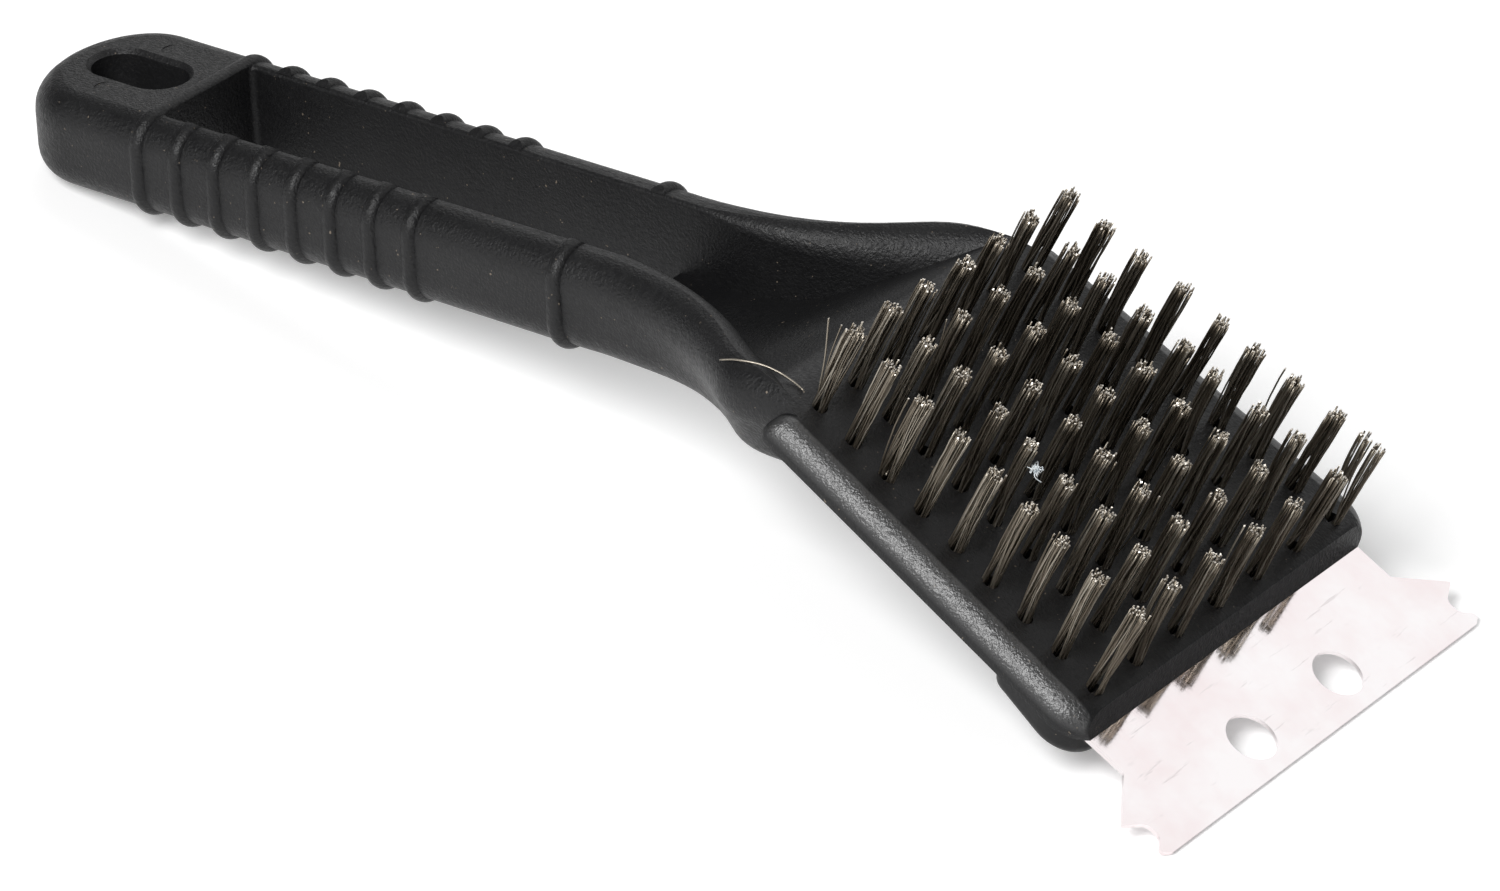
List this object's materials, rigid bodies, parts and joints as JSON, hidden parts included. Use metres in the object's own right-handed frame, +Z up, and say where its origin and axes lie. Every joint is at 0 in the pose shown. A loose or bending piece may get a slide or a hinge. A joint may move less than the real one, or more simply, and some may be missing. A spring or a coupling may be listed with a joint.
{
  "type": "grill cleaning brush",
  "caption": "Grill brush with a ribbed loop handle, a flat head of short wire tufts and a notched metal scraper blade under the front edge.",
  "frame": {"origin": "middle of the ground footprint, brush lying on its back with handle tip and blade edge on the ground", "axes": "+X along the brush from handle tip to blade, +Y across, +Z up on the bristle side"},
  "size_m": [0.2832, 0.0978, 0.0595],
  "materials": {
    "black_plastic": "fine-grained matte",
    "black_plastic_bar": "smooth matte",
    "blade_steel": "bright rolled",
    "bristle_wire": "crimped wire",
    "staple_steel": "plain",
    "screw_steel": "zinc plated"
  },
  "bodies": {
    "root": {"brush_body": "black_plastic", "blade_clamp_bar": "black_plastic_bar", "clamp_screws": "screw_steel", "scraper_blade": "blade_steel", "bristle_row_1": "bristle_wire", "bristle_row_2": "bristle_wire", "bristle_row_3": "bristle_wire", "bristle_row_4": "bristle_wire", "bristle_row_5": "bristle_wire", "bristle_row_6": "bristle_wire", "bristle_row_7": "bristle_wire", "bristle_row_8": "bristle_wire", "bristle_row_9": "bristle_wire", "staple_row_1": "staple_steel", "staple_row_2": "staple_steel", "staple_row_3": "staple_steel", "staple_row_4": "staple_steel", "staple_row_5": "staple_steel", "staple_row_6": "staple_steel", "staple_row_7": "staple_steel", "staple_row_8": "staple_steel", "staple_row_9": "staple_steel"}
  },
  "joints": []
}
